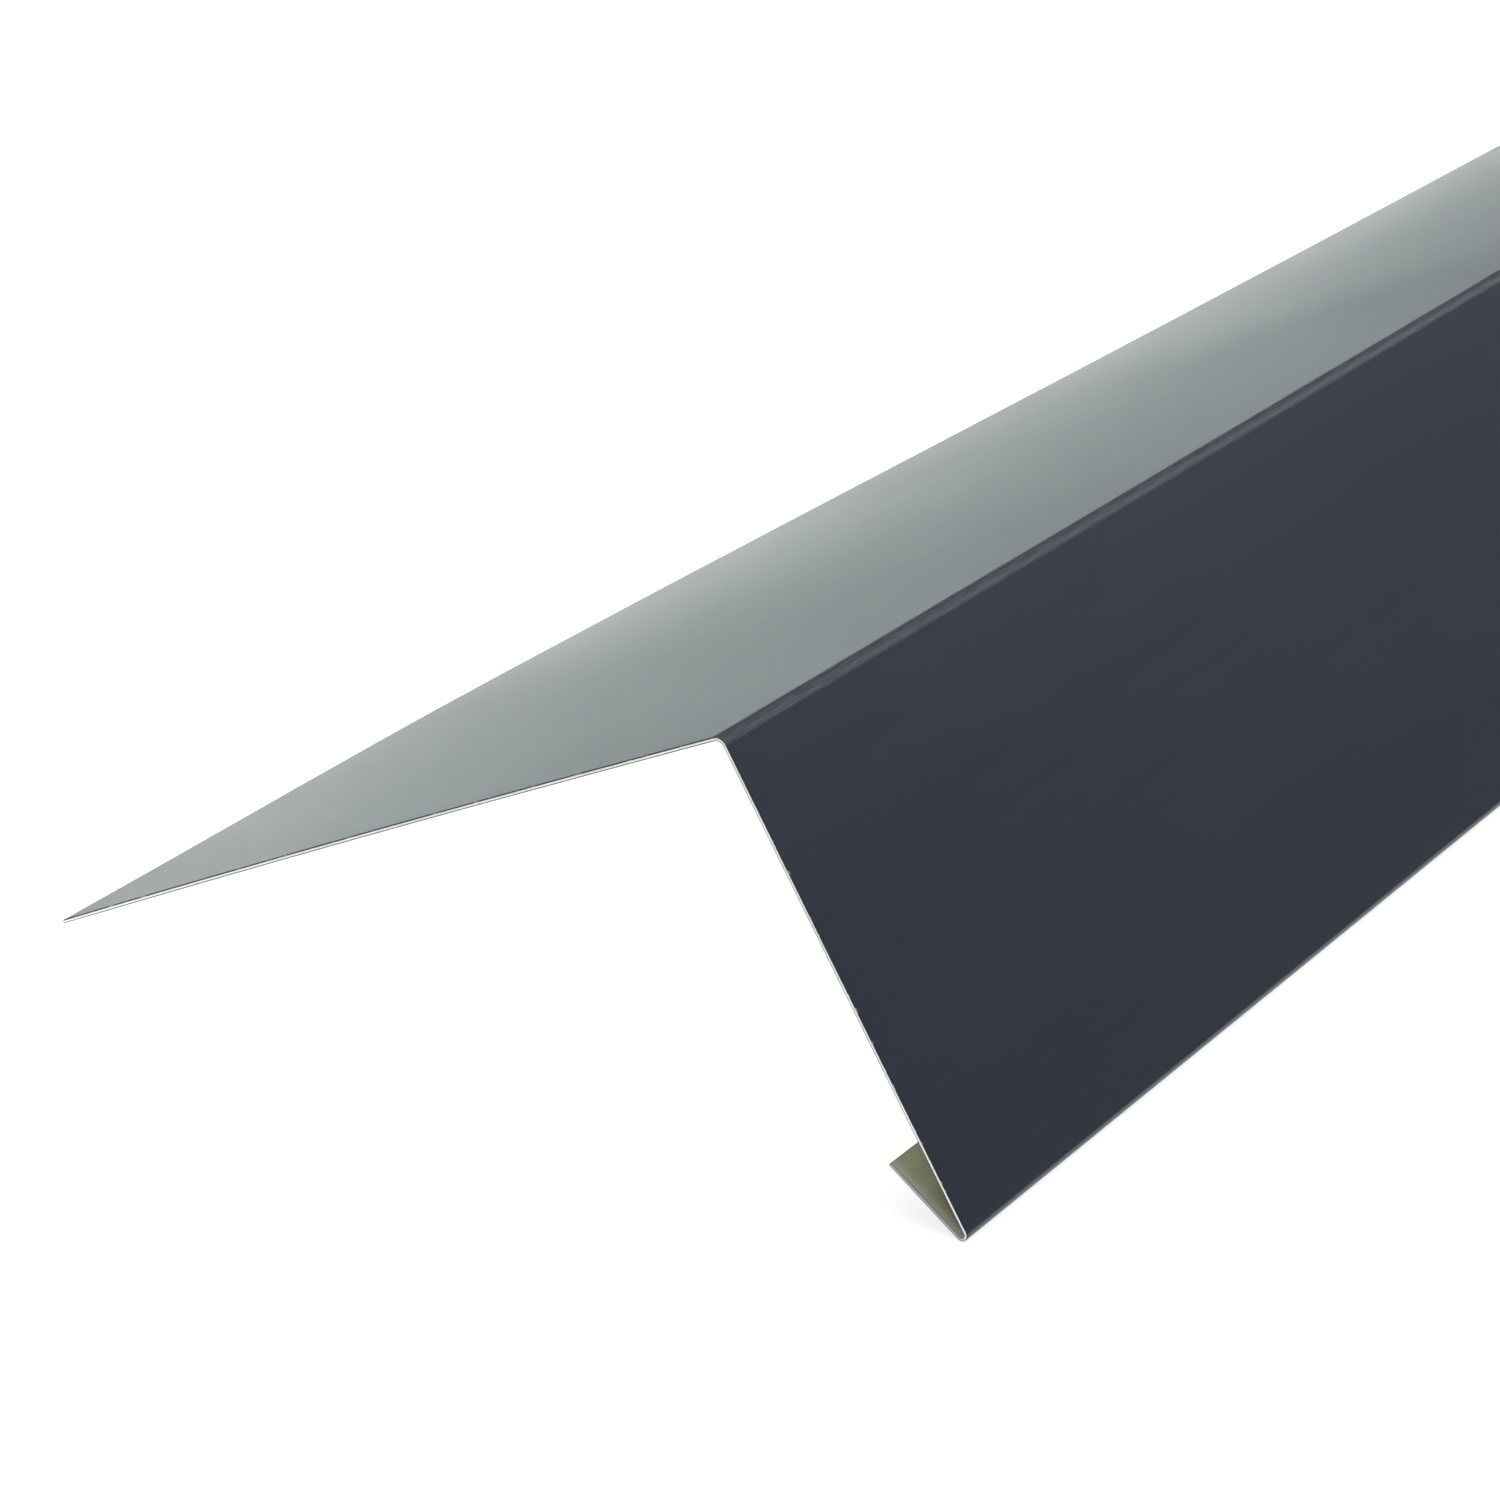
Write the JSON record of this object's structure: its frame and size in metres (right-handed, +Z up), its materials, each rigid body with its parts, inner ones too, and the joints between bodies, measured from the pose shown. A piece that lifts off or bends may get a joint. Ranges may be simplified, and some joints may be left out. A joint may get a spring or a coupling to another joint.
{
  "type": "eaves flashing",
  "caption": "Long folded strip of dark grey coated steel sheet with a wide flange, a shorter leg and an open drip hem, which covers the edge of a roof at the eaves.",
  "frame": {"origin": "on the floor, at the middle of the strip's length and of its width as it stands", "axes": "+X across the strip from the flange to the leg, +Y along the strip, +Z up; the strip rests on the flange's free edge and on the drip fold, with the eaves bend on top"},
  "size_m": [0.1254, 2, 0.0514],
  "materials": {
    "coated_sheet": "smooth satin polyester coat in dark blue-grey on galvanised steel, olive-grey back coat, bright cut edges"
  },
  "bodies": {
    "root": {"eaves_flashing": "coated_sheet"}
  },
  "joints": []
}
